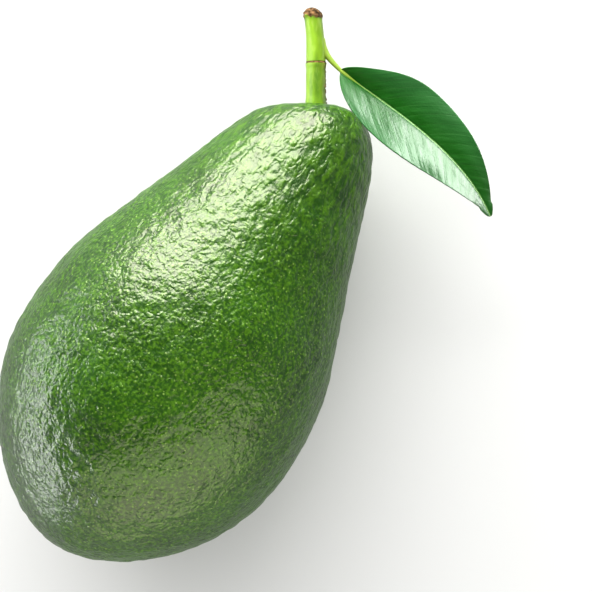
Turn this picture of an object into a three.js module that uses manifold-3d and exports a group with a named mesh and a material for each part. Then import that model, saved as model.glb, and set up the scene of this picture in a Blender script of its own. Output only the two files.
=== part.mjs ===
// A whole green-skinned avocado, picked with its stalk, a piece of twig and one leaf, lying on its side.
// Millimetres, +Z up. +X runs from the blossom end to the neck, +Y is the side the stalk leans to.
// The origin is the middle of the small flat patch that the fruit rests on.
import * as THREE from "three";
import { mergeVertices } from "three/addons/utils/BufferGeometryUtils.js";
import Module from "manifold-3d";

const deg = Math.PI / 180;
const gap = 0.3;

// Fruit: stations are distances along its long axis from the blossom end, radii are from that axis
const bellyStation = 44;
const bellyRadius = 36.8;
const bluntness = 0.45;
const bellyHandle = 19.5;
const taperStation = 78;
const taperRadius = 29.6;
const taperSlope = 0.378;
const taperHandle = 8;
const neckStation = 111;
const neckHandle = 13.5;
const neckFlat = 7.2;
const neckEnd = 125.6;
const fruitSides = 56;
const arcSteps = 12;

// How it lies: the neck hangs a little, so that the centre of mass stands over the resting patch
const restTilt = 12 * deg;
const patchDepth = 0.5;

// Fruit stalk: it leaves the neck at a slant, and the neck's end is flattened square to it
const stalkStation = 121.9;
const stalkOffset = 4.5;
const stalkLean = 32.4 * deg;
const stalkRadius = 2.35;
const socketDepth = 1.2;
const stalkSides = 20;

// Twig: it carries on from the joint at the stalk's top and ends in a dried, domed cut
const jointHeight = 10;
const jointBulge = 0.12;
const twigLean = 3.5 * deg;
const twigLength = 11.4;
const twigWaist = 2.1;
const cutRadius = 2.3;
const cutDome = 1.8;

// Leaf: its own short stalk from the twig, then a blade folded along its midrib
const petioleRadius = 0.75;
const petioleFrom = new THREE.Vector3(2.95, 10.6, 0);
const bladeFrom = new THREE.Vector3(6, 7.9, 0.4);
const bladeTo = new THREE.Vector3(41.6, -26.8, 0);
const bladeHandles = [new THREE.Vector3(18.7, -1.6, 3.6), new THREE.Vector3(35.1, -11.2, 5)];
const bladeHalfWidth = 9.9;
const baseRoundness = 0.65;
const bladeThickness = 0.7;
const rimHalfWidth = 0.3;
const upperFold = 18 * deg;
const upperFoldAtBase = 48 * deg;
const lowerFold = 36 * deg;
const leafStations = 34;
const leafSides = 20;

const wasm = await Module();
wasm.setup();

// A closed geometry as a manifold solid
function solidOf(geometry) {
  const bare = geometry.clone();
  bare.deleteAttribute("normal");
  bare.deleteAttribute("uv");
  const merged = mergeVertices(bare, 1e-4);
  const mesh = new wasm.Mesh({
    numProp: 3,
    vertProperties: merged.getAttribute("position").array,
    triVerts: new Uint32Array(merged.index.array),
  });
  return new wasm.Manifold(mesh);
}

function geometryOf(solid) {
  const mesh = solid.getMesh();
  const geometry = new THREE.BufferGeometry();
  geometry.setAttribute("position", new THREE.BufferAttribute(mesh.vertProperties, 3));
  geometry.setIndex(new THREE.BufferAttribute(mesh.triVerts, 1));
  geometry.computeVertexNormals();
  return geometry;
}

function named(name, geometry, material) {
  const mesh = new THREE.Mesh(geometry, material);
  mesh.name = name;
  return mesh;
}

// A turned piece, its outline given as pairs of radius and height
function turned(pairs) {
  const outline = pairs.map(([radius, height]) => new THREE.Vector2(radius, height));
  return new THREE.LatheGeometry(outline, stalkSides);
}

// A closed skin through rings of points: ringAt(share) gives one ring, and both end rings are capped
function loft(ringAt, stations, sides) {
  const positions = [];
  const index = [];
  for (let i = 0; i <= stations; i++) {
    for (const point of ringAt(i / stations)) positions.push(point.x, point.y, point.z);
  }
  for (let i = 0; i < stations; i++) {
    for (let j = 0; j < sides; j++) {
      const a = i * sides + j;
      const b = i * sides + ((j + 1) % sides);
      index.push(a, b, a + sides, b, b + sides, a + sides);
    }
  }
  const last = stations * sides;
  for (let j = 1; j < sides - 1; j++) {
    index.push(0, j + 1, j);
    index.push(last, last + j, last + j + 1);
  }
  const geometry = new THREE.BufferGeometry();
  geometry.setAttribute("position", new THREE.Float32BufferAttribute(positions, 3));
  geometry.setIndex(index);
  return geometry;
}

const skin = new THREE.MeshStandardMaterial({ color: 0x3f7a1c, roughness: 0.35 });
const greenWood = new THREE.MeshStandardMaterial({ color: 0x9ccb3c, roughness: 0.5 });
const leafGreen = new THREE.MeshStandardMaterial({ color: 0x2c7a2c, roughness: 0.4 });

// A pear of revolution: a blunt round blossom end, a straight taper and a rounded neck.
// The outline's x is the radius and its y is the station.
function pearOutline(steps) {
  const neckRadius = taperRadius - (neckStation - taperStation) * taperSlope;
  const outline = new THREE.Path();
  outline.moveTo(0, 0);
  outline.bezierCurveTo(
    bellyRadius * bluntness, 0,
    bellyRadius, bellyStation / 2,
    bellyRadius, bellyStation,
  );
  outline.bezierCurveTo(
    bellyRadius, bellyStation + bellyHandle,
    taperRadius + taperHandle * taperSlope, taperStation - taperHandle,
    taperRadius, taperStation,
  );
  outline.lineTo(neckRadius, neckStation);
  outline.bezierCurveTo(
    neckRadius - neckHandle * taperSlope, neckStation + neckHandle,
    neckFlat, neckEnd,
    0, neckEnd,
  );
  return outline.getPoints(steps);
}

// The lying fruit's frame: +X along its long axis from the blossom end. Stalk, twig and leaf share it.
function lyingFrame() {
  const drop = (point) => point.x * Math.cos(restTilt) + point.y * Math.sin(restTilt);
  const lowest = pearOutline(200).reduce((best, point) => (drop(point) > drop(best) ? point : best));
  const frame = new THREE.Group();
  frame.rotation.y = restTilt;
  frame.position.x = lowest.x * Math.sin(restTilt) - lowest.y * Math.cos(restTilt);
  frame.position.z = drop(lowest) - patchDepth;
  frame.updateMatrix();
  return frame;
}

// The stalk's frame: +Y along the stalk, with the origin on the flattened end of the neck
function stalkFrame() {
  const frame = new THREE.Group();
  frame.position.set(stalkStation, stalkOffset, 0);
  frame.rotation.z = stalkLean - Math.PI / 2;
  frame.updateMatrix();
  return frame;
}

function makeFruit(lying, stem) {
  const pear = new THREE.LatheGeometry(pearOutline(arcSteps), fruitSides).rotateZ(-Math.PI / 2);

  // The neck's end is cut square to the stalk, with a shallow socket for the stalk's foot
  const socketRadius = stalkRadius + gap;
  const beyondNeck = new THREE.BoxGeometry(90, 40, 90).translate(0, 20, 0);
  const socket = new THREE.CylinderGeometry(socketRadius, socketRadius, socketDepth * 2, stalkSides);
  beyondNeck.applyMatrix4(stem.matrix);
  socket.applyMatrix4(stem.matrix);

  // The resting patch: what would stand below the surface is taken off
  const belowSurface = new THREE.BoxGeometry(300, 300, 100).translate(0, 0, -50);
  belowSurface.applyMatrix4(lying.matrix.clone().invert());

  const fruit = [beyondNeck, socket, belowSurface].reduce(
    (body, cutter) => body.subtract(solidOf(cutter)),
    solidOf(pear),
  );
  return named("fruit", geometryOf(fruit), skin);
}

// The stalk's foot stands in the neck's socket, and its top swells a little at the joint
function makeFruitStalk() {
  const foot = gap - socketDepth;
  const top = jointHeight - gap / 2;
  const geometry = turned([
    [0, foot],
    [stalkRadius, foot],
    [stalkRadius, 0.4],
    [stalkRadius - 0.15, jointHeight * 0.4],
    [stalkRadius, top - 0.7],
    [stalkRadius + jointBulge, top],
    [0, top],
  ]);
  return named("fruit_stalk", geometry, greenWood);
}

function makeTwig() {
  const foot = gap / 2;
  const geometry = turned([
    [0, foot],
    [stalkRadius + jointBulge, foot],
    [stalkRadius, 1.2],
    [stalkRadius - 0.1, twigLength * 0.4],
    [twigWaist, twigLength * 0.85],
    [cutRadius, twigLength],
    [cutRadius * 0.6, twigLength + cutDome * 0.6],
    [0, twigLength + cutDome],
  ]);
  const mesh = named("twig", geometry, greenWood);
  mesh.position.y = jointHeight;
  mesh.rotation.z = twigLean;
  return mesh;
}

// Half the blade's width at a share of its length: widest before the middle, drawn out to a tip
function bladeHalfWidthAt(share) {
  const shape = (s) => Math.pow(s, baseRoundness) * (1 - s);
  const widest = baseRoundness / (1 + baseRoundness);
  return (bladeHalfWidth * shape(share)) / shape(widest);
}

function makeLeaf() {
  const petiole = new THREE.LineCurve3(petioleFrom, bladeFrom);
  const midrib = new THREE.CubicBezierCurve3(bladeFrom, ...bladeHandles, bladeTo);
  const centreLine = new THREE.CurvePath();
  centreLine.add(petiole);
  centreLine.add(midrib);
  const petioleShare = petiole.getLength() / centreLine.getLength();
  const up = new THREE.Vector3(0, 0, 1);

  const ringAt = (share) => {
    const centre = centreLine.getPointAt(share);
    const across = new THREE.Vector3().crossVectors(up, centreLine.getTangentAt(share)).normalize();
    const bladeShare = Math.max(0, (share - petioleShare) / (1 - petioleShare));
    const fromBase = THREE.MathUtils.smoothstep(bladeShare, 0, 0.25);
    const halfWidth = Math.max(petioleRadius * (1 - bladeShare), bladeHalfWidthAt(bladeShare), rimHalfWidth);
    const halfThickness = THREE.MathUtils.lerp(petioleRadius, bladeThickness / 2, fromBase);
    const foldAbove = THREE.MathUtils.lerp(upperFoldAtBase, upperFold, fromBase);
    const ring = [];
    for (let j = 0; j < leafSides; j++) {
      const turn = (j / leafSides) * 2 * Math.PI;
      const reach = Math.cos(turn) * halfWidth;
      const fold = reach > 0 ? foldAbove : lowerFold;
      const point = centre.clone();
      point.addScaledVector(across, reach * Math.cos(fold));
      point.addScaledVector(up, Math.abs(reach) * Math.sin(fold) + Math.sin(turn) * halfThickness);
      ring.push(point);
    }
    return ring;
  };
  return named("leaf", loft(ringAt, leafStations, leafSides), leafGreen);
}

const lying = lyingFrame();
const stem = stalkFrame();
stem.add(makeFruitStalk(), makeTwig(), makeLeaf());
lying.add(makeFruit(lying, stem), stem);

const avocado = new THREE.Group();
avocado.add(lying);

export default avocado;
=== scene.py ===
import math

import bpy
import numpy as np
from mathutils import Matrix, Vector, noise


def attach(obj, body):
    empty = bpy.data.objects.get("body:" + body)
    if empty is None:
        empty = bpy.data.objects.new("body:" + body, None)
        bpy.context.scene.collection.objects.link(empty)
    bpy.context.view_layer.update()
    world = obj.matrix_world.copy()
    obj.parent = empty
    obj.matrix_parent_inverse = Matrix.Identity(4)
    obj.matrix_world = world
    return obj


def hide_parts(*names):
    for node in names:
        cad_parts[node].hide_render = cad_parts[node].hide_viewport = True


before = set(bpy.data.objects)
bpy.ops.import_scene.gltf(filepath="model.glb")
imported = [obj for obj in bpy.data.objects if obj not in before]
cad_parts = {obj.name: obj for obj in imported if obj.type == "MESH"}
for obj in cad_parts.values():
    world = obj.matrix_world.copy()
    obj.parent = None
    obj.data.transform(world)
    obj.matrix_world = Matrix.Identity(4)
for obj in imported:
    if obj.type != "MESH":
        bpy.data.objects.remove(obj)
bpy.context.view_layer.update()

mm = 0.001
noise.seed_set(7)  # noise_vector gives the same field on every run


# Shared helpers

def linear(hexColour):
    # sRGB hex to the linear colour that the shaders take
    parts = [int(hexColour[i:i + 2], 16) / 255 for i in (1, 3, 5)]
    return [c / 12.92 if c <= 0.04045 else ((c + 0.055) / 1.055) ** 2.4 for c in parts] + [1.0]


def addNode(tree, kind, settings=None, links=None):
    # settings are the node's own options, and socket values where the key names an input;
    # links feed an input from an output socket
    node = tree.nodes.new(kind)
    for key, value in (settings or {}).items():
        if isinstance(key, int) or key in node.inputs:
            node.inputs[key].default_value = value
        else:
            setattr(node, key, value)
    for key, source in (links or {}).items():
        tree.links.new(source, node.inputs[key])
    return node


def newMaterial(name):
    material = bpy.data.materials.new(name)
    material.use_nodes = True
    material.node_tree.nodes.clear()
    return material, material.node_tree


def smoothStep(low, high, value):
    t = np.clip((value - low) / (high - low), 0, 1)
    return t * t * (3 - 2 * t)


def bezier(points, t):
    # a cubic through four control points, at the shares t
    t = np.asarray(t, float)[:, None]
    a, b, c, d = (np.asarray(p, float) for p in points)
    return a * (1 - t) ** 3 + b * 3 * t * (1 - t) ** 2 + c * 3 * t * t * (1 - t) + d * t ** 3


def alongLength(points, shares):
    # points on a polyline at the given shares of its length
    points = np.asarray(points, float)
    steps = np.linalg.norm(np.diff(points, axis=0), axis=1)
    length = np.concatenate([[0], np.cumsum(steps)])
    return np.stack([np.interp(shares * length[-1], length, axis) for axis in points.T], 1)


def meshPiece(name, points, faces, materials, values=None):
    # points in millimetres in the row frame; values are numbers for each point that materials read
    mesh = bpy.data.meshes.new(name)
    mesh.from_pydata((np.asarray(points) * mm).tolist(), [], faces)
    for key, numbers in (values or {}).items():
        attribute = mesh.attributes.new(key, "FLOAT", "POINT")
        attribute.data.foreach_set("value", np.asarray(numbers, np.float32))
    for material in materials:
        mesh.materials.append(material)
    mesh.polygons.foreach_set("use_smooth", [True] * len(mesh.polygons))
    mesh.update()
    piece = bpy.data.objects.new(name, mesh)
    bpy.context.scene.collection.objects.link(piece)
    return piece


def ringFaces(rows, sides):
    # a closed skin: a first point, then rows of points round it, then a last point
    last = 1 + rows * sides
    faces = [(0, 1 + (j + 1) % sides, 1 + j) for j in range(sides)]
    for i in range(rows - 1):
        base = 1 + i * sides
        for j in range(sides):
            k = (j + 1) % sides
            faces.append((base + j, base + k, base + sides + k, base + sides + j))
    base = last - sides
    faces += [(base + j, base + (j + 1) % sides, last) for j in range(sides)]
    return faces


def settle(piece, node):
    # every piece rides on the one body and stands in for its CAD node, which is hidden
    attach(piece, "root")
    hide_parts(node)


# The fruit's outline and how it lies, in millimetres. Stations run along it from the blossom end.
fruit = {
    "bellyStation": 44, "bellyRadius": 36.8, "bluntness": 0.45, "bellyHandle": 19.5,
    "taperStation": 78, "taperRadius": 29.6, "taperSlope": 0.378, "taperHandle": 8,
    "neckStation": 111, "neckHandle": 13.5, "neckFlat": 7.2, "neckEnd": 125.6,
    "tilt": math.radians(12), "patchDepth": 0.5,
    "rows": 250, "sides": 384,
}


def pearOutline(fruit):
    # station and radius: blunt blossom end, belly, straight taper, rounded neck
    neckRadius = fruit["taperRadius"] - (fruit["neckStation"] - fruit["taperStation"]) * fruit["taperSlope"]
    taperFrom = fruit["taperStation"] - fruit["taperHandle"]
    t = np.linspace(0, 1, 200)
    blunt = bezier([
        (0, 0), (0, fruit["bellyRadius"] * fruit["bluntness"]),
        (fruit["bellyStation"] / 2, fruit["bellyRadius"]), (fruit["bellyStation"], fruit["bellyRadius"]),
    ], t)
    belly = bezier([
        (fruit["bellyStation"], fruit["bellyRadius"]),
        (fruit["bellyStation"] + fruit["bellyHandle"], fruit["bellyRadius"]),
        (taperFrom, fruit["taperRadius"] + fruit["taperHandle"] * fruit["taperSlope"]),
        (fruit["taperStation"], fruit["taperRadius"]),
    ], t)
    neck = bezier([
        (fruit["neckStation"], neckRadius),
        (fruit["neckStation"] + fruit["neckHandle"], neckRadius - fruit["neckHandle"] * fruit["taperSlope"]),
        (fruit["neckEnd"], fruit["neckFlat"]), (fruit["neckEnd"], 0),
    ], t)
    return np.concatenate([blunt[:-1], belly, neck])


outline = pearOutline(fruit)
alongAxis = np.array([math.cos(fruit["tilt"]), 0, -math.sin(fruit["tilt"])])
acrossAxis = np.array([0.0, 1.0, 0.0])
faceAxis = np.cross(alongAxis, acrossAxis)
drops = outline[:, 1] * math.cos(fruit["tilt"]) + outline[:, 0] * math.sin(fruit["tilt"])
lowest = outline[np.argmax(drops)]
blossomEnd = np.array([
    lowest[1] * math.sin(fruit["tilt"]) - lowest[0] * math.cos(fruit["tilt"]),
    0,
    drops.max() - fruit["patchDepth"],
])


def lying(points):
    # from the fruit's own axes (along, across, face) to the row frame
    return blossomEnd + np.asarray(points, float) @ np.stack([alongAxis, acrossAxis, faceAxis])


# The stalk leaves the neck at a slant. Its axes: side, up the stalk, and face.
stalk = {
    "station": 121.9, "offset": 4.5, "lean": math.radians(32.4),
    "radius": 2.35, "jointHeight": 10.0, "sink": 1.4, "rows": 90, "sides": 72,
    "flare": 0.22, "swell": 0.12, "lip": 0.1, "lipZone": 0.42,
}
stalkSide = np.array([math.sin(stalk["lean"]), -math.cos(stalk["lean"]), 0])
stalkUp = np.array([math.cos(stalk["lean"]), math.sin(stalk["lean"]), 0])
stalkFoot = np.array([stalk["station"], stalk["offset"], 0])
stalkTurn = np.stack([stalkSide, stalkUp, [0, 0, 1]])


def onStalk(points):
    # from the stalk's own axes to the row frame
    return lying(stalkFoot + np.asarray(points, float) @ stalkTurn)


# Rind: ripe green avocado skin, grown, with a thin natural wax
rind = {
    "deepGreen": "#0e2f01", "midGreen": "#1d4502", "limeGreen": "#56860a",
    "pore": "#8fae52", "scarBrown": "#5d4a2a",
    "mottleMm": 11.1, "poreMm": 1.0, "poreRise": 0.03,
    # grain in the material, each with its width and its rise in millimetres; the finest real grain
    # is a few tenths of a millimetre, too fine to show, so it is drawn at 0.75 mm
    "pebbleMm": 2.2, "pebbleRise": 0.085, "grainMm": 1.4, "grainRise": 0.22,
    "fineMm": 0.75, "fineRise": 0.15, "wrinkleMm": 1.3, "wrinkleRise": 0.5,
    "roughness": 0.5, "specular": 0.05, "wax": 0.33, "waxRoughness": 0.28,
    # relief in the mesh, in millimetres
    "swellMm": 21, "swellRise": 0.3, "dentMm": 8.5, "dentRise": 0.16, "driftMm": 5,
    "lumpMm": 2.9, "lumpRise": 0.27, "creaseMm": 2.3, "creaseShare": 0.8,
    "furrowLength": 7, "furrowWidth": 1.1, "furrowRise": 0.07,
    "dimpleWidth": 4.0, "dimpleDepth": 1.3, "blossomScar": 1.5, "neckRimSoftness": 1.6,
    "wrinklesFrom": 72, "wrinklesTo": 112, "wrinkleCover": 0.75,
}


def rindMaterial(rind):
    # waxy pebbled avocado rind: saturated green under a clear wax. The wax mirrors the light off the
    # flat tops of the pebbles, their creases stay dark, and pale pores show between
    material, tree = newMaterial("waxyAvocadoRind")
    place = addNode(tree, "ShaderNodeTexCoord")
    inMillimetres = addNode(tree, "ShaderNodeMapping", {
        "Rotation": (0, -fruit["tilt"], 0), "Scale": (1000, 1000, 1000),
    }, {"Vector": place.outputs["Object"]})
    skin = inMillimetres.outputs["Vector"]

    def plateaus(wide, detail, crease):
        # flat-topped bumps, 1 on the tops and 0 in the winding creases between them
        wave = addNode(tree, "ShaderNodeTexNoise", {
            "Scale": 1 / wide, "Detail": detail, "Distortion": 0.4,
        }, {"Vector": skin})
        level = addNode(tree, "ShaderNodeMath", {
            "operation": "SUBTRACT", 1: 0.5,
        }, {0: wave.outputs["Fac"]})
        size = addNode(tree, "ShaderNodeMath", {"operation": "ABSOLUTE"}, {0: level.outputs["Value"]})
        return addNode(tree, "ShaderNodeMapRange", {
            "interpolation_type": "SMOOTHSTEP", "From Max": crease,
        }, {"Value": size.outputs["Value"]})

    pebbles = plateaus(rind["pebbleMm"], 1.0, 0.2)
    grains = addNode(tree, "ShaderNodeTexNoise", {
        "Scale": 1 / rind["grainMm"], "Detail": 1.2, "Distortion": 0.3,
    }, {"Vector": skin})
    fine = addNode(tree, "ShaderNodeTexNoise", {
        "Scale": 1 / rind["fineMm"], "Detail": 1.5,
    }, {"Vector": skin})

    # towards the neck the grain gives way to wrinkles that run along the fruit
    neck = addNode(tree, "ShaderNodeAttribute", {"attribute_name": "neck"})
    drawnOut = addNode(tree, "ShaderNodeMapping", {"Scale": (0.3, 1, 1)}, {"Vector": skin})
    wrinkles = addNode(tree, "ShaderNodeTexNoise", {
        "Scale": 1 / rind["wrinkleMm"], "Detail": 1.5, "Distortion": 0.5,
    }, {"Vector": drawnOut.outputs["Vector"]})
    cover = addNode(tree, "ShaderNodeMix", {}, {
        "Factor": neck.outputs["Fac"], "A": fine.outputs["Fac"], "B": wrinkles.outputs["Fac"],
    })

    # pores: pale spots of random size, a little proud of the skin
    pores = addNode(tree, "ShaderNodeTexVoronoi", {
        "feature": "F1", "Scale": 1 / rind["poreMm"],
    }, {"Vector": skin})
    lot = addNode(tree, "ShaderNodeSeparateColor", {}, {"Color": pores.outputs["Color"]})
    poreSize = addNode(tree, "ShaderNodeMapRange", {
        "To Min": 0.08, "To Max": 0.38,
    }, {"Value": lot.outputs["Red"]})
    poreMask = addNode(tree, "ShaderNodeMapRange", {
        "interpolation_type": "SMOOTHSTEP", "From Min": 0.0, "To Min": 1.0, "To Max": 0.0,
    }, {"Value": pores.outputs["Distance"], "From Max": poreSize.outputs["Result"]})

    mottle = addNode(tree, "ShaderNodeTexNoise", {
        "Scale": 1 / rind["mottleMm"], "Detail": 3.0,
    }, {"Vector": skin})
    patch = addNode(tree, "ShaderNodeMapRange", {
        "From Min": 0.3, "From Max": 0.7,
    }, {"Value": mottle.outputs["Fac"]})
    greens = addNode(tree, "ShaderNodeMix", {
        "data_type": "RGBA", 6: linear(rind["deepGreen"]), 7: linear(rind["midGreen"]),
    }, {"Factor": patch.outputs["Result"]})
    # painted light and shade, partly the rind's own mottling: lime on the crowns of the fine grain and the
    # neck's wrinkles, deeper green in their creases
    crownLightAndCreaseShade = addNode(tree, "ShaderNodeMapRange", {
        "From Min": 0.42, "From Max": 0.8, "To Max": 0.6,
    }, {"Value": cover.outputs["Result"]})
    limedWithCreaseShade = addNode(tree, "ShaderNodeMix", {
        "data_type": "RGBA", 7: linear(rind["limeGreen"]),
    }, {"Factor": crownLightAndCreaseShade.outputs["Result"], 6: greens.outputs[2]})
    poreShow = addNode(tree, "ShaderNodeMapRange", {
        "From Max": 0.75, "To Min": 0.55, "To Max": 0.15,
    }, {"Value": neck.outputs["Fac"]})
    poreTint = addNode(tree, "ShaderNodeMath", {"operation": "MULTIPLY"}, {
        0: poreMask.outputs["Result"], 1: poreShow.outputs["Result"],
    })
    spotted = addNode(tree, "ShaderNodeMix", {
        "data_type": "RGBA", 7: linear(rind["pore"]),
    }, {"Factor": poreTint.outputs["Value"], 6: limedWithCreaseShade.outputs[2]})
    scar = addNode(tree, "ShaderNodeAttribute", {"attribute_name": "scar"})
    coloured = addNode(tree, "ShaderNodeMix", {
        "data_type": "RGBA", 7: linear(rind["scarBrown"]),
    }, {"Factor": scar.outputs["Fac"], 6: spotted.outputs[2]})

    # relief in millimetres
    coarse = addNode(tree, "ShaderNodeMath", {
        "operation": "MULTIPLY", 1: rind["pebbleRise"],
    }, {0: pebbles.outputs["Result"]})
    grained = addNode(tree, "ShaderNodeMath", {
        "operation": "MULTIPLY_ADD", 1: rind["grainRise"],
    }, {0: grains.outputs["Fac"], 2: coarse.outputs["Value"]})
    grainy = addNode(tree, "ShaderNodeMath", {
        "operation": "MULTIPLY_ADD", 1: rind["fineRise"],
    }, {0: fine.outputs["Fac"], 2: grained.outputs["Value"]})
    wrinkled = addNode(tree, "ShaderNodeMath", {
        "operation": "MULTIPLY_ADD", 1: rind["wrinkleRise"],
    }, {0: wrinkles.outputs["Fac"], 2: coarse.outputs["Value"]})
    blended = addNode(tree, "ShaderNodeMix", {}, {
        "Factor": neck.outputs["Fac"], "A": grainy.outputs["Value"], "B": wrinkled.outputs["Value"],
    })
    relief = addNode(tree, "ShaderNodeMath", {
        "operation": "MULTIPLY_ADD", 1: rind["poreRise"],
    }, {0: poreMask.outputs["Result"], 2: blended.outputs["Result"]})
    bump = addNode(tree, "ShaderNodeBump", {
        "Strength": 1.0, "Distance": mm,
    }, {"Height": relief.outputs["Value"]})
    shader = addNode(tree, "ShaderNodeBsdfPrincipled", {
        "IOR": 1.45, "Roughness": rind["roughness"], "Specular IOR Level": rind["specular"],
        "Coat Weight": rind["wax"], "Coat Roughness": rind["waxRoughness"], "Coat IOR": 1.5,
    }, {
        "Base Color": coloured.outputs[2],
        "Normal": bump.outputs["Normal"], "Coat Normal": bump.outputs["Normal"],
    })
    addNode(tree, "ShaderNodeOutputMaterial", {}, {"Surface": shader.outputs["BSDF"]})
    return material


def rindRelief(point, rind):
    # how far the skin stands off its smooth shape, in millimetres: a little bolder round the blossom end
    spot = Vector(point)
    bold = 1.0 - 0.15 * float(smoothStep(15, 70, point[0]))
    swell = rind["swellRise"] * noise.noise(spot / rind["swellMm"])
    swell += rind["dentRise"] * noise.noise(spot / rind["dentMm"])
    drift = noise.noise_vector(spot / rind["driftMm"])
    lump = noise.noise((spot + drift) / rind["lumpMm"])
    otherPart = Vector((5, 2, 8))  # so that creases and lumps don't share one pattern
    crease = abs(noise.noise((spot + drift * 1.2) / rind["creaseMm"] + otherPart))
    lump += rind["creaseShare"] * min(crease, 0.3)
    long, wide = rind["furrowLength"], rind["furrowWidth"]
    furrow = noise.noise(Vector((point[0] / long, point[1] / wide, point[2] / wide)))
    return swell + bold * (rind["lumpRise"] * lump + rind["furrowRise"] * furrow)


def buildRind(fruit, rind):
    shares = (np.arange(1, fruit["rows"] + 1)) / (fruit["rows"] + 1)
    rows = alongLength(outline, shares)
    turns = np.arange(fruit["sides"]) / fruit["sides"] * 2 * math.pi
    slopes = np.gradient(rows[:, 1], rows[:, 0])
    points = [np.array([[0.0, 0.0, 0.0]])]
    normals = [np.array([[-1.0, 0.0, 0.0]])]
    for (station, radius), slope in zip(rows, slopes):
        ring = np.stack([np.full_like(turns, station), radius * np.cos(turns), radius * np.sin(turns)], 1)
        out = np.stack([np.full_like(turns, -slope), np.cos(turns), np.sin(turns)], 1)
        points.append(ring)
        normals.append(out / np.linalg.norm(out, axis=1)[:, None])
    points.append(np.array([[fruit["neckEnd"], 0.0, 0.0]]))
    normals.append(np.array([[1.0, 0.0, 0.0]]))
    points, normals = np.concatenate(points), np.concatenate(normals)
    lift = np.array([rindRelief(point, rind) for point in points.tolist()])
    points = points + normals * lift[:, None]

    # the neck's end is flattened square to the stalk, with a soft rim and a dimple round the stalk
    fromFoot = points - stalkFoot
    height = fromFoot @ stalkUp
    soft = rind["neckRimSoftness"]
    flat = -soft * np.logaddexp(0, -height / soft)
    reach = np.linalg.norm(fromFoot - height[:, None] * stalkUp, axis=1)
    near = smoothStep(-4, 0, height)
    dimple = rind["dimpleDepth"] * np.exp(-(reach / rind["dimpleWidth"]) ** 2)
    flat = flat + near * (0.35 * lift - dimple)
    points = points + (flat - height)[:, None] * stalkUp
    scar = np.exp(-(np.linalg.norm(points, axis=1) / rind["blossomScar"]) ** 2)
    neck = rind["wrinkleCover"] * smoothStep(rind["wrinklesFrom"], rind["wrinklesTo"], points[:, 0])
    placed = lying(points)
    placed[:, 2] = np.maximum(placed[:, 2], 0)
    faces = ringFaces(fruit["rows"], fruit["sides"])
    piece = meshPiece("rind", placed, faces, [rindMaterial(rind)], {"scar": scar, "neck": neck})
    settle(piece, "fruit")


# Green shoot: young avocado wood, grown. Its real fibres are too fine to show, so they are drawn
# 0.35 mm wide.
shoot = {
    "green": "#74981c", "shade": "#4b7117", "pale": "#9bb04f", "petiole": "#869f3a",
    # the bark colours also paint the strip of shade down the side of stalk and twig turned from the light
    "barkBrown": "#8a6740", "barkDark": "#2c1d0c",
    "corkMm": 1.11, "fibreMm": 0.35, "fibreLength": 4, "blotchMm": 2.86,
    "greenRoughness": 0.42, "corkRoughness": 0.85,
}


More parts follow.
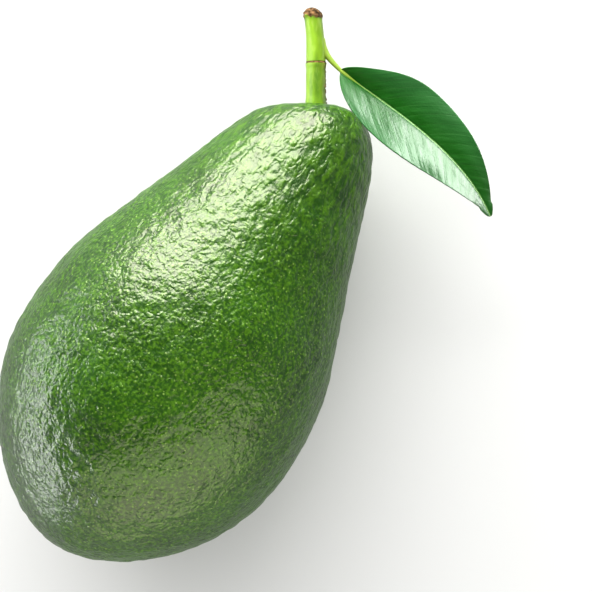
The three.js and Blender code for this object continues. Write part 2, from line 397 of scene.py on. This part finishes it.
def shootMaterial(shoot):
    # smooth green bark with fine lengthwise fibre, and dry brown cork where the bark mask says; the same
    # mask lays a dark strip of painted shade down the side of stalk and twig turned from the light
    material, tree = newMaterial("youngGreenShoot")
    place = addNode(tree, "ShaderNodeTexCoord")
    alongShoot = addNode(tree, "ShaderNodeMapping", {
        "vector_type": "TEXTURE", "Rotation": (0, fruit["tilt"], stalk["lean"]),
        "Scale": (shoot["fibreLength"] * mm, mm, mm),
    }, {"Vector": place.outputs["Object"]})
    fibre = addNode(tree, "ShaderNodeTexNoise", {
        "Scale": 1 / (2 * shoot["fibreMm"]), "Detail": 3.0,  # a light and a dark fibre in each cell
    }, {"Vector": alongShoot.outputs["Vector"]})
    blotch = addNode(tree, "ShaderNodeTexNoise", {
        "Scale": 1 / shoot["blotchMm"], "Detail": 2.0,
    }, {"Vector": alongShoot.outputs["Vector"]})
    mixed = addNode(tree, "ShaderNodeMapRange", {
        "From Min": 0.4, "From Max": 0.7,
    }, {"Value": blotch.outputs["Fac"]})
    greens = addNode(tree, "ShaderNodeMix", {
        "data_type": "RGBA", 6: linear(shoot["green"]), 7: linear(shoot["shade"]),
    }, {"Factor": mixed.outputs["Result"]})
    streak = addNode(tree, "ShaderNodeMapRange", {
        "From Min": 0.5, "From Max": 0.8, "To Max": 0.5,
    }, {"Value": fibre.outputs["Fac"]})
    streaked = addNode(tree, "ShaderNodeMix", {
        "data_type": "RGBA", 7: linear(shoot["pale"]),
    }, {"Factor": streak.outputs["Result"], 6: greens.outputs[2]})
    paler = addNode(tree, "ShaderNodeAttribute", {"attribute_name": "pale"})
    lightened = addNode(tree, "ShaderNodeMix", {
        "data_type": "RGBA", 7: linear(shoot["petiole"]),
    }, {"Factor": paler.outputs["Fac"], 6: streaked.outputs[2]})
    cork = addNode(tree, "ShaderNodeTexNoise", {
        "Scale": 1 / (shoot["corkMm"] * mm), "Detail": 4.0,
    }, {"Vector": place.outputs["Object"]})
    corkTone = addNode(tree, "ShaderNodeMapRange", {
        "From Min": 0.42, "From Max": 0.7,
    }, {"Value": cork.outputs["Fac"]})
    browns = addNode(tree, "ShaderNodeMix", {
        "data_type": "RGBA", 6: linear(shoot["barkDark"]), 7: linear(shoot["barkBrown"]),
    }, {"Factor": corkTone.outputs["Result"]})
    barkAndShade = addNode(tree, "ShaderNodeAttribute", {"attribute_name": "barkAndShade"})
    coloured = addNode(tree, "ShaderNodeMix", {"data_type": "RGBA"}, {
        "Factor": barkAndShade.outputs["Fac"], 6: lightened.outputs[2], 7: browns.outputs[2],
    })
    rough = addNode(tree, "ShaderNodeMapRange", {
        "To Min": shoot["greenRoughness"], "To Max": shoot["corkRoughness"],
    }, {"Value": barkAndShade.outputs["Fac"]})
    ridges = addNode(tree, "ShaderNodeMath", {
        "operation": "MULTIPLY_ADD", 1: 0.05,
    }, {0: fibre.outputs["Fac"], 2: cork.outputs["Fac"]})
    bump = addNode(tree, "ShaderNodeBump", {
        "Strength": 0.35, "Distance": 0.2 * mm,
    }, {"Height": ridges.outputs["Value"]})
    shader = addNode(tree, "ShaderNodeBsdfPrincipled", {
        "IOR": 1.45,
        "Subsurface Weight": 0.15, "Subsurface Radius": (0.6, 1.0, 0.2), "Subsurface Scale": mm,
    }, {
        "Base Color": coloured.outputs[2], "Roughness": rough.outputs["Result"],
        "Normal": bump.outputs["Normal"],
    })
    addNode(tree, "ShaderNodeOutputMaterial", {}, {"Surface": shader.outputs["BSDF"]})
    return material


shootGreen = shootMaterial(shoot)


def turnedShoot(name, node, heights, radiusAt, centreAt, barkAt, sides):
    # a shoot round the stalk's line; the functions give its radius, centre, and bark with painted shade, at
    # a height and angle
    turns = np.arange(sides) / sides * 2 * math.pi
    points, barkAndShade = [], []
    for height in heights:
        radius = radiusAt(height, turns)
        side, face = centreAt(height)
        points.append(np.stack([
            side + radius * np.cos(turns), np.full_like(turns, height), face - radius * np.sin(turns),
        ], 1))
        barkAndShade.append(barkAt(height, turns))
    ends = [np.mean(points[0], 0)[None], np.mean(points[-1], 0)[None]]
    points = np.concatenate([ends[0], *points, ends[1]])
    barkAndShade = np.concatenate([[barkAndShade[0].mean()], *barkAndShade, [barkAndShade[-1].mean()]])
    piece = meshPiece(name, onStalk(points), ringFaces(len(heights), sides), [shootGreen], {"barkAndShade": barkAndShade})
    settle(piece, node)


def rippled(turns, height, size, step):
    # a gentle unevenness round the shoot
    return np.array([
        size * noise.noise(Vector((2 * math.cos(a), 2 * math.sin(a), height / step))) for a in turns
    ])


def scarAndShadeAt(height, turns):
    # the rough scar on the leaf's side of the joint; a dark edge down the side turned from the light, bolder
    # below the joint, which is partly cork and partly painted shade; and the brown line round the joint
    fromJoint = height - stalk["jointHeight"]
    offSide = np.abs((turns + math.pi) % (2 * math.pi) - math.pi)
    spot = 0.9 * np.exp(-((fromJoint + 1.1) / 1.0) ** 2) * np.exp(-(offSide / 0.85) ** 2)
    # painted shade, partly cork: a dark strip down the side turned from the light, bolder on the stalk and
    # fainter up the twig
    edge = 0.95 * np.exp(-(offSide / 0.62) ** 2) * float(smoothStep(0.3, -0.3, fromJoint))
    edge = edge + 0.35 * np.exp(-(offSide / 0.45) ** 2)
    line = 1.6 * math.exp(-((fromJoint + 0.04) / 0.2) ** 2)
    return np.clip(np.maximum(spot, edge) * (0.75 + rippled(turns, height, 0.8, 1.2)) + line, 0, 1)


def buildStalk(stalk):
    top = stalk["jointHeight"]
    towardsJoint = np.linspace(stalk["lipZone"], 0.02, 12)
    heights = np.concatenate([np.linspace(-stalk["sink"], top - 0.5, stalk["rows"]), top - towardsJoint])

    def radiusAt(height, turns):
        flare = stalk["flare"] * math.exp(-(max(height, 0) / 1.3) ** 2)
        swell = stalk["swell"] * math.exp(-((height - top + 0.5) / 0.8) ** 2)
        lip = stalk["lip"] * math.exp(-((height - top) / 0.12) ** 2)
        rough = scarAndShadeAt(height, turns) * rippled(turns, height, 0.5, 0.5)
        return stalk["radius"] + flare + swell - lip + rippled(turns, height, 0.12, 9) + 0.5 * rough

    def centreAt(height):
        return 0, 0

    turnedShoot("stalkWood", "fruit_stalk", heights, radiusAt, centreAt, scarAndShadeAt, stalk["sides"])


# Twig: carries on from the stalk's joint to a rounded cut end, in millimetres
twig = {"length": 11.2, "waist": 2.1, "rim": 2.35, "dome": 1.9, "bend": -0.75, "rows": 100}


def buildTwig(twig):
    foot = stalk["jointHeight"]
    heights = foot + np.concatenate([
        np.linspace(0.02, stalk["lipZone"], 12), np.linspace(0.5, twig["length"], twig["rows"]),
        twig["length"] + twig["dome"] * np.sin(np.linspace(0.05, 0.95, 26) * math.pi / 2),
    ])

    def radiusAt(height, turns):
        share = (height - foot) / twig["length"]
        taper = stalk["radius"] + (twig["waist"] - stalk["radius"]) * float(smoothStep(0, 0.9, share))
        rim = (twig["rim"] - twig["waist"]) * math.exp(-((share - 1.0) / 0.06) ** 2)
        lip = stalk["lip"] * math.exp(-((height - foot) / 0.12) ** 2)
        over = max(0.0, (height - foot - twig["length"]) / twig["dome"])
        dome = math.sqrt(max(0.0, 1 - over ** 2))
        ragged = rippled(turns, height, 0.9, 0.7) * float(smoothStep(0.93, 1.0, share))
        return (taper + rim - lip + rippled(turns, height, 0.1, 9)) * dome + ragged * 0.35 * (dome + 0.1)

    def centreAt(height):
        share = max(0.0, (height - foot) / twig["length"])
        return twig["bend"] * share ** 2, 0

    def barkAt(height, turns):
        edge = foot + twig["length"] - 0.5 + rippled(turns, height, 1.0, 4)
        return np.clip(scarAndShadeAt(height, turns) + smoothStep(-0.25, 0.25, height - edge), 0, 1)

    turnedShoot("twigWood", "twig", heights, radiusAt, centreAt, barkAt, stalk["sides"])


# Leaf: one glossy young avocado leaf, in the stalk's axes and millimetres
leaf = {
    "bladeFrom": (6, 7.9, 0.4), "bladeTo": (41.6, -26.8, 0),
    "handles": [(18.4, -1.9, 3.6), (34.8, -11.5, 5)],
    "halfWidth": 9.9, "baseRoundness": 0.65, "tipWidth": 1.9, "petioleRadius": 0.5, "petioleFoot": 1.1,
    "petioleLead": [(1.1, 15.5, 0), (1.8, 12.4, 0), (2.9, 10.9, 0)], "petioleSides": 24,
    "upperFold": math.radians(18), "upperFoldAtBase": math.radians(48), "lowerFold": math.radians(33),
    "veinSpacing": 3.4, "thickness": 0.32, "rows": 200, "halfSides": 44,
    "upperReach": 0.95, "underRibDrop": 0.05, "waveRise": 0.35, "quiltRise": 0.25,
    "deepGreen": "#124b0b", "green": "#195812", "paintedSheen": "#336a38", "vein": "#7fae62",
    "underGreen": "#7fa35a", "roughness": 0.34, "underRoughness": 0.6,
    "veinShow": 0.03, "underVeinShow": 0.5, "midribFrom": 0.08, "midribTo": 0.26,
    "streakWidth": 1.545, "streakLength": 4.55, "toothMm": 0.625,
}


def leafMaterial(leaf, upper):
    # glossy leaf cuticle above: deep green, faint side veins and a sheen that breaks into streaks along
    # them; below, dull and paler
    material, tree = newMaterial("glossyLeafCuticle" if upper else "paleLeafUnderside")
    place = addNode(tree, "ShaderNodeTexCoord")
    phase = addNode(tree, "ShaderNodeAttribute", {"attribute_name": "veinPhase"})
    reach = addNode(tree, "ShaderNodeAttribute", {"attribute_name": "reach"})
    turn = addNode(tree, "ShaderNodeMath", {"operation": "PINGPONG", 1: 0.5}, {0: phase.outputs["Fac"]})
    sideVein = addNode(tree, "ShaderNodeMapRange", {
        "interpolation_type": "SMOOTHSTEP", "From Max": 0.07, "To Min": 1.0, "To Max": 0.0,
    }, {"Value": turn.outputs["Value"]})
    span = addNode(tree, "ShaderNodeMath", {"operation": "ABSOLUTE"}, {0: reach.outputs["Fac"]})
    midrib = addNode(tree, "ShaderNodeMapRange", {
        "interpolation_type": "SMOOTHSTEP",
        "From Min": leaf["midribFrom"], "From Max": leaf["midribTo"], "To Min": 0.9, "To Max": 0.0,
    }, {"Value": span.outputs["Value"]})
    faint = addNode(tree, "ShaderNodeMath", {
        "operation": "MULTIPLY", 1: leaf["veinShow"] if upper else leaf["underVeinShow"],
    }, {0: sideVein.outputs["Result"]})
    veins = addNode(tree, "ShaderNodeMath", {
        "operation": "MAXIMUM",
    }, {0: faint.outputs["Value"], 1: midrib.outputs["Result"]})

    # streaks that run with the side veins, and the cuticle's tooth, drawn coarser than it is so it shows
    alongVeins = addNode(tree, "ShaderNodeCombineXYZ", {}, {
        "X": phase.outputs["Fac"], "Y": reach.outputs["Fac"],
    })
    drawnOut = addNode(tree, "ShaderNodeMapping", {
        "Scale": (leaf["veinSpacing"] / leaf["streakWidth"], 1 / leaf["streakLength"], 1),
    }, {"Vector": alongVeins.outputs["Vector"]})
    streaks = addNode(tree, "ShaderNodeTexNoise", {
        "Scale": 1.0, "Detail": 3.0,
    }, {"Vector": drawnOut.outputs["Vector"]})
    fine = addNode(tree, "ShaderNodeTexNoise", {
        "Scale": 1 / (leaf["toothMm"] * mm), "Detail": 2.0,
    }, {"Vector": place.outputs["Object"]})
    tone = addNode(tree, "ShaderNodeMapRange", {
        "From Min": 0.35, "From Max": 0.65,
    }, {"Value": streaks.outputs["Fac"]})
    body = addNode(tree, "ShaderNodeMix", {
        "data_type": "RGBA",
        6: linear(leaf["deepGreen"] if upper else leaf["underGreen"]),
        7: linear(leaf["green"] if upper else leaf["underGreen"]),
    }, {"Factor": tone.outputs["Result"]})
    # painted sheen: the blade greys a little away from the midrib, standing in for the haze of reflected
    # light towards its edges
    outward = addNode(tree, "ShaderNodeMapRange", {
        "From Min": 2.0, "From Max": 9.0, "To Max": 0.6,
    }, {"Value": span.outputs["Value"]})
    withPaintedSheen = addNode(tree, "ShaderNodeMix", {
        "data_type": "RGBA", 7: linear(leaf["paintedSheen"] if upper else leaf["underGreen"]),
    }, {"Factor": outward.outputs["Result"], 6: body.outputs[2]})
    coloured = addNode(tree, "ShaderNodeMix", {"data_type": "RGBA", 7: linear(leaf["vein"])}, {
        "Factor": veins.outputs["Value"], 6: withPaintedSheen.outputs[2],
    })
    # relief in millimetres
    waves = addNode(tree, "ShaderNodeMath", {
        "operation": "MULTIPLY", 1: 0.11,
    }, {0: streaks.outputs["Fac"]})
    sunk = addNode(tree, "ShaderNodeMath", {"operation": "MULTIPLY_ADD", 1: -0.015}, {
        0: sideVein.outputs["Result"], 2: waves.outputs["Value"],
    })
    relief = addNode(tree, "ShaderNodeMath", {"operation": "MULTIPLY_ADD", 1: 0.05}, {
        0: fine.outputs["Fac"], 2: sunk.outputs["Value"],
    })
    bump = addNode(tree, "ShaderNodeBump", {
        "Strength": 1.0, "Distance": mm,
    }, {"Height": relief.outputs["Value"]})
    rough = addNode(tree, "ShaderNodeMapRange", {
        "From Min": 0.3, "From Max": 0.7,
        "To Min": leaf["roughness"] - 0.06 if upper else leaf["underRoughness"],
        "To Max": leaf["roughness"] + 0.1 if upper else leaf["underRoughness"] + 0.1,
    }, {"Value": streaks.outputs["Fac"]})
    shader = addNode(tree, "ShaderNodeBsdfPrincipled", {"IOR": 1.5}, {
        "Base Color": coloured.outputs[2], "Roughness": rough.outputs["Result"],
        "Normal": bump.outputs["Normal"],
    })
    addNode(tree, "ShaderNodeOutputMaterial", {}, {"Surface": shader.outputs["BSDF"]})
    return material


def buildBlade(leaf, shares, centre):
    length = np.linalg.norm(np.diff(centre, axis=0), axis=1).sum()
    ahead = np.gradient(centre, axis=0)
    across = np.cross([0, 0, 1], ahead)
    across /= np.linalg.norm(across, axis=1)[:, None]
    shape = shares ** leaf["baseRoundness"] * (1 - shares)
    tip = np.minimum(leaf["tipWidth"] * np.sqrt((1 - shares) / 0.05), leaf["tipWidth"])
    half = np.maximum(leaf["halfWidth"] * shape / shape.max(), np.where(shares > 0.93, tip, 0))
    half = np.maximum(half, 0.2)
    fromBase = smoothStep(0, 0.4, shares)
    foldAbove = leaf["upperFoldAtBase"] + (leaf["upperFold"] - leaf["upperFoldAtBase"]) * fromBase

    points, phase, reaches = [], [], []
    for i, share in enumerate(shares):
        for side in np.linspace(-1, 1, 2 * leaf["halfSides"] + 1):
            isUpper = side > 0
            reach = side * half[i] * (leaf["upperReach"] if isUpper else 1)
            fold = foldAbove[i] if isUpper else leaf["lowerFold"]
            span = abs(reach)

            # side veins slant forwards and curve, and the blade swells a little between them
            vein = (share * length - 0.87 * span - 0.03 * span ** 2) / leaf["veinSpacing"]
            vein += 0.5 if isUpper else 0
            uneven = 0.5 + noise.noise(Vector((share * 9, side * 1.5, 4)))
            quilt = (0.022 if isUpper else 0.05) * uneven * math.cos(2 * math.pi * vein)
            quilt *= float(smoothStep(0, 2.5, span)) * (1 - abs(side)) ** 0.4
            ripple = noise.noise(Vector((share * 6, side * 2, 9))) * float(smoothStep(0, 3, span))
            quilt += leaf["quiltRise"] * ripple

            # each half folds up from a shallow groove over the midrib, and its edge waves
            groove = 0.12 * math.exp(-(span / 0.35) ** 2)
            rise = span * math.sin(fold) * (1 - 0.2 * abs(side)) - groove - quilt
            wave = leaf["waveRise"] * abs(side) ** 3 * math.sin(share * 17 + (2 if isUpper else 0))
            lift = np.array([0, 0, rise + wave])
            points.append(centre[i] + across[i] * reach * math.cos(fold) + lift)
            phase.append(vein)
            reaches.append(reach)
    wide = 2 * leaf["halfSides"] + 1
    faces = [
        (i * wide + j, (i + 1) * wide + j, (i + 1) * wide + j + 1, i * wide + j + 1)
        for i in range(leaf["rows"] - 1) for j in range(wide - 1)
    ]
    materials = [leafMaterial(leaf, True), leafMaterial(leaf, False)]
    values = {"veinPhase": phase, "reach": reaches}
    blade = meshPiece("leafBlade", onStalk(points), faces, materials, values)
    thicken = blade.modifiers.new("thickness", "SOLIDIFY")
    thicken.thickness = leaf["thickness"] * mm
    thicken.offset = -1
    thicken.material_offset = 1
    settle(blade, "leaf")


def buildPetiole(leaf, shares, centre):
    # the leaf's stalk runs down the twig, leaves it and carries on under the blade as its rib
    lead = bezier([*leaf["petioleLead"], leaf["bladeFrom"]], np.linspace(0, 1, 60))
    drop = np.array([0, 0, leaf["petioleRadius"] + leaf["underRibDrop"]])
    rib = centre[1:] - smoothStep(0, 0.12, shares[1:])[:, None] * drop
    path = alongLength(np.concatenate([lead, rib]), np.linspace(0, 1, 240))
    run = np.linspace(0, 1, len(path))
    joins = np.interp(leaf["bladeFrom"][0], path[:, 0], run)
    thicker = leaf["petioleFoot"] - leaf["petioleRadius"]
    free = leaf["petioleRadius"] + thicker * np.clip(1 - run / joins, 0, 1) ** 1.3
    fading = leaf["petioleRadius"] * np.clip(1 - (run - joins) / (1 - joins), 0, 1) ** 0.8 * 0.85 + 0.1
    radius = np.where(run < joins, free, fading)
    turns = np.arange(leaf["petioleSides"]) / leaf["petioleSides"] * 2 * math.pi
    heading = np.gradient(path, axis=0)
    heading /= np.linalg.norm(heading, axis=1)[:, None]
    beside = np.cross([0, 0, 1], heading)
    beside /= np.linalg.norm(beside, axis=1)[:, None]
    above = np.cross(heading, beside)
    rings = [
        path[i] + radius[i] * (np.outer(np.cos(turns), beside[i]) + np.outer(np.sin(turns), above[i]))
        for i in range(len(path))
    ]
    points = np.concatenate([path[:1], *rings, path[-1:]])
    faces = ringFaces(len(path), len(turns))
    petiole = meshPiece("leafStalk", onStalk(points), faces, [shootGreen], {"pale": np.ones(len(points))})
    settle(petiole, "leaf")


def buildLeaf(leaf):
    midrib = bezier([leaf["bladeFrom"], *leaf["handles"], leaf["bladeTo"]], np.linspace(0, 1, 400))
    shares = np.linspace(0, 1, leaf["rows"])
    centre = alongLength(midrib, shares)
    buildBlade(leaf, shares, centre)
    buildPetiole(leaf, shares, centre)


# Camera and studio: the camera looks square onto the fruit's axis, and the stalk points up the picture.
# Sizes of the view in millimetres, as stations and offsets on the fruit.
studio = {
    "aimStation": 80.7, "aimOffset": -16.0, "frameWidth": 141.3, "lens": 130, "sensor": 36,
    "middleStation": 60, "floor": "#dededc", "floorRoughness": 0.9, "floorReachMm": 4000,
    "paperToothMm": 1.11,
    "horizon": 0.9, "zenith": 0.02,
    "scrim": 1.8, "scrimFrom": (-0.1, 0.45, 1.0), "scrimAngle": math.radians(60),
}
# Soft boxes stand round the fruit's middle: "towards" is to the right, up the picture and to the camera,
# "away" and "size" are metres. One with "matte" False only shines in glossy skins, one with "gloss" False
# only lights them, and "only" names the pieces that it reaches.
softboxes = [
    {"name": "keySoftbox", "towards": (-0.1, 0.93, 0.25), "away": 0.42,
     "size": (0.5, 0.4), "power": 8.7, "gloss": False},
    {"name": "keyShine", "towards": (-0.02, 0.93, 0.25), "away": 0.41,
     "size": (0.46, 0.4), "power": 28, "matte": False, "only": ["rind"], "tint": "#fff3e6"},
    {"name": "leafCard", "towards": (0.8, 0.5, 0.32), "away": 0.5,
     "size": (0.46, 0.36), "power": 12, "matte": False, "only": ["leafBlade"]},
    {"name": "shootCard", "towards": (-0.9, 0.3, 0.4), "away": 0.4,
     "size": (0.3, 0.3), "power": 1.6, "only": ["stalkWood", "twigWood"]},
    {"name": "lowFill", "towards": (0.1, -0.8, 0.5), "away": 0.45,
     "size": (0.9, 0.4), "power": 2.0, "gloss": False},
    {"name": "lowShine", "towards": (0.2, -0.8, 0.42), "away": 0.45,
     "size": (0.9, 0.5), "power": 10.5, "matte": False, "only": ["rind"], "tint": "#fff6d6"},
    {"name": "leftShine", "towards": (-0.98, -0.16, -0.03), "away": 0.5,
     "size": (0.8, 0.11), "power": 9.5, "matte": False, "only": ["rind"]},
]


def addCamera(studio):
    data = bpy.data.cameras.new("camera")
    data.lens, data.sensor_width = studio["lens"], studio["sensor"]
    away = studio["frameWidth"] * studio["lens"] / studio["sensor"]
    camera = bpy.data.objects.new("camera", data)
    bpy.context.scene.collection.objects.link(camera)
    side, up, face = (Vector(lying(axis) - lying((0, 0, 0))) for axis in stalkTurn)
    spot = Vector(lying((studio["aimStation"], studio["aimOffset"], 0)) + away * np.array(face)) * mm
    turn = Matrix((side, up, face)).transposed().to_4x4()
    camera.matrix_world = Matrix.Translation(spot) @ turn
    data.clip_start, data.clip_end = 0.01, 20
    bpy.context.scene.camera = camera
    return Matrix((side, up, face)).transposed()


def addSoftbox(turn, studio, box):
    data = bpy.data.lights.new(box["name"], "AREA")
    data.shape = "RECTANGLE"
    data.size, data.size_y = box["size"]
    data.energy = box["power"]
    data.color = linear(box.get("tint", "#ffffff"))[:3]
    light = bpy.data.objects.new(box["name"], data)
    bpy.context.scene.collection.objects.link(light)
    middle = Vector(lying((studio["middleStation"], 0, 0))) * mm
    towards = (turn @ Vector(box["towards"])).normalized()
    light.location = middle + towards * box["away"]
    light.rotation_mode = "QUATERNION"
    light.rotation_quaternion = towards.to_track_quat("Z", "Y")
    light.visible_camera = False
    light.visible_diffuse = box.get("matte", True)
    light.visible_glossy = box.get("gloss", True)
    if "only" in box:
        lit = bpy.data.collections.new(box["name"] + "Lights")
        for name in box["only"]:
            lit.objects.link(bpy.data.objects[name])
        light.light_linking.receiver_collection = lit


def addSky(turn, studio):
    # an overhead scrim that lights without mirroring, and a world bright at the horizon, dark overhead
    data = bpy.data.lights.new("overheadScrim", "SUN")
    data.energy, data.angle = studio["scrim"], studio["scrimAngle"]
    scrim = bpy.data.objects.new("overheadScrim", data)
    bpy.context.scene.collection.objects.link(scrim)
    scrim.rotation_mode = "QUATERNION"
    scrim.rotation_quaternion = (turn @ Vector(studio["scrimFrom"])).to_track_quat("Z", "Y")
    scrim.visible_glossy = False
    world = bpy.data.worlds.new("studioWorld")
    world.use_nodes = True
    world.node_tree.nodes.clear()
    bpy.context.scene.world = world
    tree = world.node_tree
    place = addNode(tree, "ShaderNodeTexCoord")
    axes = addNode(tree, "ShaderNodeSeparateXYZ", {}, {"Vector": place.outputs["Generated"]})
    level = addNode(tree, "ShaderNodeMapRange", {
        "interpolation_type": "SMOOTHSTEP", "From Min": 0.05, "From Max": 0.5,
        "To Min": studio["horizon"], "To Max": studio["zenith"],
    }, {"Value": axes.outputs["Z"]})
    sky = addNode(tree, "ShaderNodeBackground", {}, {"Strength": level.outputs["Result"]})
    addNode(tree, "ShaderNodeOutputWorld", {}, {"Surface": sky.outputs["Background"]})


def addFloor(studio):
    # matte studio paper: hardly any shine, so shadows lie soft and even on it. Its tooth is drawn coarser
    # than it is, or it wouldn't show
    material, tree = newMaterial("matteStudioPaper")
    place = addNode(tree, "ShaderNodeTexCoord")
    tooth = addNode(tree, "ShaderNodeTexNoise", {
        "Scale": 1 / (studio["paperToothMm"] * mm), "Detail": 2.0,
    }, {"Vector": place.outputs["Object"]})
    bump = addNode(tree, "ShaderNodeBump", {
        "Strength": 0.1, "Distance": 0.1 * mm,
    }, {"Height": tooth.outputs["Fac"]})
    shader = addNode(tree, "ShaderNodeBsdfPrincipled", {
        "Base Color": linear(studio["floor"]), "Roughness": studio["floorRoughness"],
        "Specular IOR Level": 0.2,
    }, {"Normal": bump.outputs["Normal"]})
    addNode(tree, "ShaderNodeOutputMaterial", {}, {"Surface": shader.outputs["BSDF"]})
    wide = studio["floorReachMm"]
    corners = [(-wide, -wide, 0), (wide, -wide, 0), (wide, wide, 0), (-wide, wide, 0)]
    floor = meshPiece("studioFloor", corners, [(0, 1, 2, 3)], [material])


buildRind(fruit, rind)
print("rind grown")
buildStalk(stalk)
buildTwig(twig)
print("stalk and twig grown")
buildLeaf(leaf)
print("leaf grown")

turn = addCamera(studio)
for box in softboxes:
    addSoftbox(turn, studio, box)
addSky(turn, studio)
addFloor(studio)
bpy.context.scene.view_settings.view_transform = "Standard"
print("studio lit")
